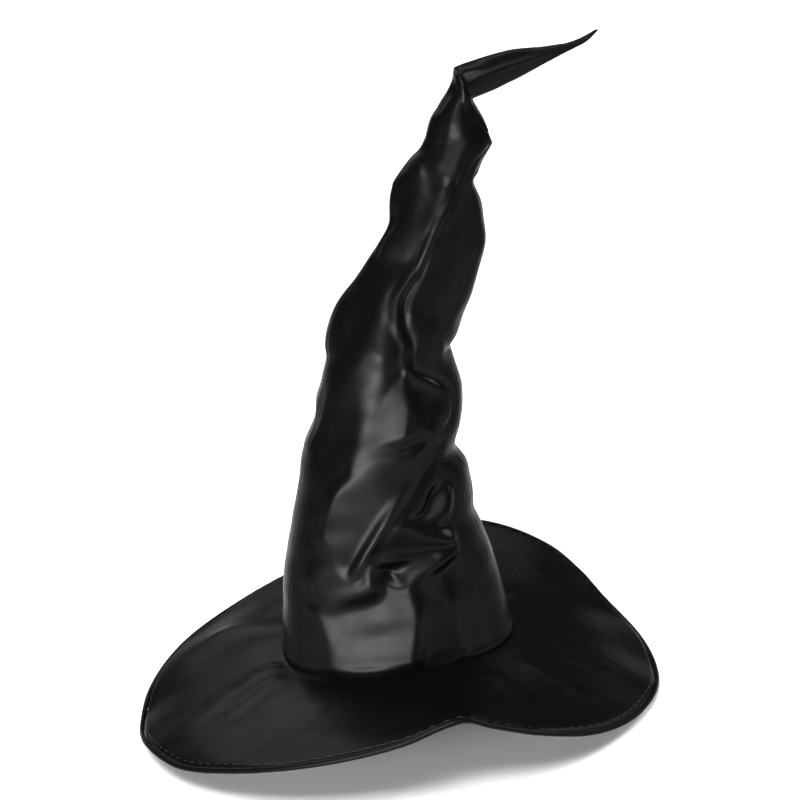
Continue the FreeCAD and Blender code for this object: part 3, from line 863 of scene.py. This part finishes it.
def brim_relief(points, seed):
    """Faint swellings of the brim's cloth, gone at the seam and the edge."""
    spots = points[..., :2].reshape(-1, 2)
    relief = 0.6 * soft_waves(spots, seed, 6, 60, 130)
    azimuth = np.arctan2(spots[:, 1], spots[:, 0])
    radius = np.hypot(spots[:, 0], spots[:, 1])
    relief += 0.12 * soft_waves(np.stack([azimuth * 60, radius * 0.15], -1), seed + 1, 5, 20, 50)
    share = np.clip((radius - BASE_RADIUS) / BRIM_MEAN_WIDTH, 0, 1)
    puff = PUFF * np.sqrt(np.maximum(4 * share * (1 - share), 0)) - PUFF / 2
    for fold in BRIM_FOLDS:
        height, _ = fold_field(spots, fold)
        puff += height
    hold = smoothstep(share / 0.06) * smoothstep((1 - share) / 0.05)
    return ((relief + puff) * hold).reshape(points.shape[:2])


# Soft folds of the brim, seen from above (x, y): rise, near and far as on the cone.
BRIM_FOLDS = [
    Fold([(-156, -96), (-124, -70), (-96, -50)], 1.3, 12, 12),
    Fold([(-170, -60), (-130, -40), (-98, -24)], 1, 12, 12),
    Fold([(-118, -22), (-106, -24), (-97, -26)], 0.5, 3, 3),
    Fold([(-130, -36), (-112, -36), (-96, -36)], 0.5, 4, 4),
    Fold([(66, -94), (86, -130), (104, -176)], 1, 9, 12),
    Fold([(94, -72), (128, -100), (160, -120)], 0.9, 10, 10),
    Fold([(106, -34), (140, -52), (190, -66)], 0.8, 10, 10),
    Fold([(10, -102), (26, -160), (34, -214)], -1.6, 10, 8),
    Fold([(-40, -96), (-70, -150), (-96, -190)], 1, 14, 14),
    Fold([(90, 60), (130, 96), (150, 130)], 1.6, 10, 12),
    Fold([(-20, 104), (-40, 160), (-52, 208)], 1.6, 10, 12),
    Fold([(-90, 56), (-140, 90), (-176, 108)], 1.4, 10, 12),
]


def ply_normals(points):
    """Normals of a brim ply, upward."""
    return -grid_normals(points)


def brim_plies():
    reach = INSIDE_PIPING * (1 - (1 - np.linspace(0, 1, BRIM_ROWS))**EDGE_CROWDING)
    across = 2 * (BASE_RADIUS + BRIM_MEAN_WIDTH) * MM
    top = brim_grid(reach, BRIM_ANGLES)
    top += ply_normals(top) * brim_relief(top, 11)[..., None]
    edge_gap = (INSIDE_PIPING - reach) * BRIM_MEAN_WIDTH
    top[..., 2] -= (EDGE_ROLL[0] * np.exp(-(edge_gap / EDGE_ROLL[1])**2))[:, None]
    faces = grid_faces(BRIM_ROWS, BRIM_COLUMNS)
    cover = make_mesh("brim_cover", top, faces)
    under = brim_grid(reach, BRIM_ANGLES, UNDERSIDE_DROP + 0.5, UNDERSIDE_INNER)
    under -= ply_normals(under) * (0.5 * brim_relief(under, 23) + 0.3)[..., None]
    underside = make_mesh("brim_underside_cover", under, [face[::-1] for face in faces])
    for piece, node in ((cover, "brim_top_satin"), (underside, "brim_underside_satin")):
        stand_in(piece, "satin", node)
        lay_cloth(piece, BRIM_ROWS, BRIM_COLUMNS, math.pi * across * 0.72,
                  BRIM_MEAN_WIDTH * MM)
    foam = shell("brim_interlining", (top - (0, 0, SATIN_TO_FOAM))[::2, ::2],
                 (under + (0, 0, SATIN_TO_FOAM))[::2, ::2])
    stand_in(foam, "foam", "left_brim_foam", "right_brim_foam")
    return top, under


brim_top, brim_under = brim_plies()


# ---- piping, stitches, sweatband, label and casing ----
PIPING_SIDES = 20
EDGE_STITCHES = 132
PUCKERS = (0.07, EDGE_STITCHES, 0), (0.05, 331, 1.3), (0.05, 47, 0.4)  # depth, number, phase
STITCH_LENGTH, STITCH_RADIUS = 4.8, 0.3
STITCH_RINGS, STITCH_SIDES = 13, 8
BAND_RADIUS = 92.0
BAND_HEIGHT = 26.0
RIBS = 420  # woven ribs round the sweatband
RIB_DEPTH = 0.11
BAND_RINGS = np.array([(0.3, 0.35), (0.6, 0), (1.6, 0), (7, 0), (13, 0), (19, 0), (24.4, 0),
                       (25.4, 0), (25.7, 0.35)])    # height, and how far the edge rounds off
LABEL_WIDTH, LABEL_HEIGHT = 22.0, 28.0
LABEL_FLAT = 0.48  # share of the ribbon in each of its two flat halves
LABEL_GAP = 0.28  # half the distance between them
LABEL_FOOT = (0.0, 90.6, 27.5)
LABEL_LEAN = math.radians(10)


def brim_piping():
    """Satin strip folded round the wire, puckered between the stitches that hold it."""
    azimuth = round_angles(4 * BRIM_COLUMNS)
    middle = brim_grid([1.0], azimuth, BRIM_DEPTH / 2)[0]
    outward = np.stack([np.cos(azimuth), np.sin(azimuth), 0 * azimuth], -1)
    up = np.array([0.0, 0.0, 1.0])
    pucker = sum(depth * np.sin(azimuth * number + phase) for depth, number, phase in PUCKERS)
    rings = []
    for k in range(PIPING_SIDES):
        turn = 2 * np.pi * k / PIPING_SIDES
        inward = max(0.0, -math.cos(turn))
        radius = PIPING_RADIUS * (1 - 0.06 * inward) + pucker * (0.4 + 0.8 * inward) - 0.1
        rings.append(middle + radius[:, None] * (outward * math.cos(turn) + up * math.sin(turn)))
    faces = grid_faces(PIPING_SIDES, len(azimuth), joined=True)
    piece = make_mesh("brim_piping_roll", rings, faces)
    lay_cloth(piece, PIPING_SIDES, len(azimuth), 1.45, 2 * math.pi * PIPING_RADIUS * MM)
    stand_in(piece, "satin", "brim_edge_piping")


def stitch_places(node):
    """Middle of each stitch in a CAD node of stitches (mm)."""
    mesh = frame["nodes"][node].data
    points = read_all(mesh.vertices, "co", 3) / MM
    a, b = read_all(mesh.edges, "vertices", 2, int).T
    group = np.arange(len(points))
    before = None
    while before is None or (group != before).any():
        before = group.copy()
        low = np.minimum(group[a], group[b])
        np.minimum.at(group, a, low)
        np.minimum.at(group, b, low)
    groups = [points[group == k] for k in np.unique(group)]
    # Parts of one stitch that share no edge lie within a stitch of each other.
    middles = []
    for group in groups:
        middle = (group.min(0) + group.max(0)) / 2
        if all(norm(middle - other) > 3.5 for other in middles):
            middles.append(middle)
    return np.array(middles)


def thread_stitches(name, node, cloth, normals, round_way):
    """Two-ply stitches of thread on a grid of cloth, each dipping into it at its ends."""
    rings, sides = STITCH_RINGS, STITCH_SIDES
    turn = round_angles(sides)[:, None]
    flat = cloth.reshape(-1, 3)
    columns = cloth.shape[1]
    points, faces = [], []
    for middle in stitch_places(node):
        nearest = int(np.argmin(((flat - middle)**2).sum(1)))
        row, column = divmod(nearest, columns)
        if round_way:
            run = cloth[row, (column + 2) % columns] - cloth[row, column - 2]
        else:
            run = cloth[min(row + 3, len(cloth) - 1), column] - cloth[max(row - 3, 0), column]
        run /= norm(run)
        normal = normals[row, column]
        side = np.cross(normal, run)
        base = flat[nearest] + normal * 0.15
        start = len(points)
        for k in range(rings):
            t = 2 * k / (rings - 1) - 1
            bow = base + run * (t * STITCH_LENGTH / 2) + normal * (0.3 - 0.75 * t**4)
            ply = 1 - 0.22 * np.abs(np.sin(turn + 7.0 * t))
            thick = STITCH_RADIUS * ply * (1 - 0.35 * t**6)
            points.extend(bow + (side * np.cos(turn) + normal * np.sin(turn)) * thick)
        faces += (np.array(grid_faces(rings, sides)) + start).tolist()
        faces.append(tuple(start + j for j in reversed(range(sides))))
        faces.append(tuple(start + (rings - 1) * sides + j for j in range(sides)))
    piece = make_mesh(name, points, faces)
    stand_in(piece, "thread", node)


def ribbed_band():
    """Grosgrain sweatband, ribbed across, slack between its stitches."""
    azimuth = round_angles(RIBS * 4)
    height, roll = BAND_RINGS.T[..., None]
    share = height / BAND_HEIGHT
    slack = (0.35 * np.sin(azimuth * 9 + 0.6) + 0.2 * np.sin(azimuth * 23 + 2)) * share
    rib = RIB_DEPTH * np.sin(azimuth * RIBS)
    level = height + 0.25 * np.sin(azimuth * 7 + 1) * share - 0.3
    walls = [np.stack([radius * np.cos(azimuth), radius * np.sin(azimuth), level], -1)
             for radius in (BAND_RADIUS + 0.5 - roll + slack - rib,
                            BAND_RADIUS - 0.1 + roll + slack + rib)]
    piece = shell("sweatband_ribbon", *walls)
    stand_in(piece, "sweatband", "sweatband")


def folded_label():
    """Blank ribbon folded double, its cut ends sewn in above the sweatband."""
    count_x, count_t = 15, 49
    x = np.linspace(-0.5, 0.5, count_x) * (LABEL_WIDTH - 0.6)
    t = np.linspace(0, 1, count_t)[:, None]
    turn = np.pi * np.clip((t - LABEL_FLAT) / (1 - 2 * LABEL_FLAT), 0, 1)
    y = LABEL_GAP * np.cos(turn)
    z = (LABEL_HEIGHT - 0.9) * np.minimum(1, np.minimum(t, 1 - t) / LABEL_FLAT)
    z = z + 0.45 * np.sin(turn)
    share = z / LABEL_HEIGHT
    bow = 0.5 * share**2 * np.cos(x / LABEL_WIDTH * 2.4) - 0.35 * share * np.sin(x / 7 + 0.5)
    points = np.stack(np.broadcast_arrays(x, y + bow * 0.7 - 0.4, z), -1)
    lean = np.array(Matrix.Rotation(LABEL_LEAN, 3, "X"))
    points = points @ lean.T + LABEL_FOOT
    faces = [(r * count_x + c, r * count_x + c + 1, (r + 1) * count_x + c + 1,
              (r + 1) * count_x + c) for r in range(count_t - 1) for c in range(count_x - 1)]
    piece = make_mesh("care_label_ribbon", points, faces)
    stand_in(piece, "label", "care_label")


def gathered_casing():
    """Lining tube round the wire, gathered along its length."""
    piece = add_object("wire_casing_tube", frame["nodes"]["cone_wire_casing"].data.copy())
    remesh = piece.modifiers.new("remesh", "REMESH")
    remesh.mode = "VOXEL"
    remesh.voxel_size = 0.4 * MM
    bpy.context.view_layer.update()
    shaped = piece.evaluated_get(bpy.context.evaluated_depsgraph_get())
    fine = bpy.data.meshes.new_from_object(shaped)
    piece.modifiers.clear()
    piece.data = fine
    points = read_all(fine.vertices, "co", 3) / MM
    normal = read_all(fine.vertices, "normal", 3)
    turn = np.arctan2(normal[:, 1], normal[:, 0])
    ripple = np.sin(points[:, 2] * 2.1 + 2 * np.sin(turn)) + np.sin(points[:, 2] * 1.3 + 3 * turn)
    points += normal * (0.11 * ripple)[:, None]
    fine.vertices.foreach_set("co", (points * MM).reshape(-1))
    fine.polygons.foreach_set("use_smooth", [True] * len(fine.polygons))
    fine.update()
    fine.materials.clear()
    stand_in(piece, "lining", "cone_wire_casing")


brim_piping()
back_strip = slice(CONE_COLUMNS // 4 - 4, CONE_COLUMNS // 4 + 5)
seam_cloth = cone_points[:stretches["cone"][1], back_strip]
seam_normals = grid_normals(cone_points)[:stretches["cone"][1], back_strip]
thread_stitches("brim_edge_thread", "brim_edge_stitching", brim_top, ply_normals(brim_top), True)
thread_stitches("base_seam_thread", "base_seam_stitching", brim_under, -ply_normals(brim_under),
                True)
thread_stitches("back_seam_thread", "cone_seam_stitching", seam_cloth, seam_normals, False)
ribbed_band()
folded_label()
gathered_casing()

# Every CAD node carries the material of its slot.
for subpart in frame["record"]["subparts"]:
    node = frame["nodes"][subpart["node"]]
    node.data.materials.clear()
    node.data.materials.append(slots[subpart["material_slot"]].material)

# ---- floor, lights and camera ----
floor_height = cad_box[0][2] / MM - 0.5


def floor_piece():
    size = 9000.0
    corners = [(x * size, y * size, floor_height) for x, y in ((-1, -1), (1, -1), (1, 1), (-1, 1))]
    piece = make_mesh("floor", corners, [(0, 1, 2, 3)], smooth=False)
    paint = Surface("pale_floor", (0.86, 0.86, 0.86), 0.9, specular=0.1)
    piece.data.materials.append(paint.material)


def area_light(name, place, target, size, power, spread):
    data = bpy.data.lights.new(name, "AREA")
    data.shape = "RECTANGLE"
    data.size, data.size_y = size
    data.energy = power
    data.spread = spread
    light = add_object(name, data)
    light.location = place
    direction = Vector(target) - Vector(place)
    light.rotation_euler = direction.to_track_quat("-Z", "Y").to_euler()


def sun_light(name, direction, strength, angle):
    """Broad distant light that shines from a direction; angle is its width in degrees."""
    data = bpy.data.lights.new(name, "SUN")
    data.energy = strength
    data.angle = math.radians(angle)
    light = add_object(name, data)
    light.rotation_euler = Vector(direction).to_track_quat("Z", "Y").to_euler()


def camera():
    place = Vector((0.0, -2147.0, 871.5)) * MM
    target = Vector((25.0, 0.0, 209.4)) * MM
    roll = math.radians(-6.61)
    ahead = (target - place).normalized()
    right = ahead.cross(Vector((0, 0, 1))).normalized()
    up = right.cross(ahead)
    tilted_right = right * math.cos(roll) + up * math.sin(roll)
    tilted_up = up * math.cos(roll) - right * math.sin(roll)
    data = bpy.data.cameras.new("camera")
    data.lens = 120.26
    data.sensor_width = 36.0
    data.clip_end = 100.0
    view = add_object("camera", data)
    axes = Matrix((tilted_right, tilted_up, -ahead)).transposed().to_4x4()
    view.matrix_world = Matrix.Translation(place) @ axes
    scene.camera = view


floor_piece()
camera()
area_light("key", (-1.15, -1.64, 0.38), (0, 0, 0.25), (2.0, 0.56), 12.5, 1.0)
area_light("front", (-0.35, -1.55, 1.65), (0, 0, 0.2), (1.2, 0.6), 8, 1.2)
area_light("rim", (-0.8, 2.4, 1.1), (-0.1, 0, 0.02), (0.8, 0.5), 1.6, 1.2)
area_light("fill", (1.9, 0.9, 1.4), (0, 0, 0.22), (1.0, 1.0), 9, 1.4)
area_light("backdrop", (-0.4, 3.0, 3.4), (-0.4, 2.2, 0), (4.0, 1.4), 120, 2.2)
sun_light("overhead", (-0.15, -0.42, 0.9), 2.2, 30)
world = bpy.data.worlds.new("studio")
scene.world = world
world.use_nodes = True
world.node_tree.nodes["Background"].inputs["Color"].default_value = (0.9, 0.9, 0.92, 1)
world.node_tree.nodes["Background"].inputs["Strength"].default_value = 0.11
scene.view_settings.view_transform = "Standard"
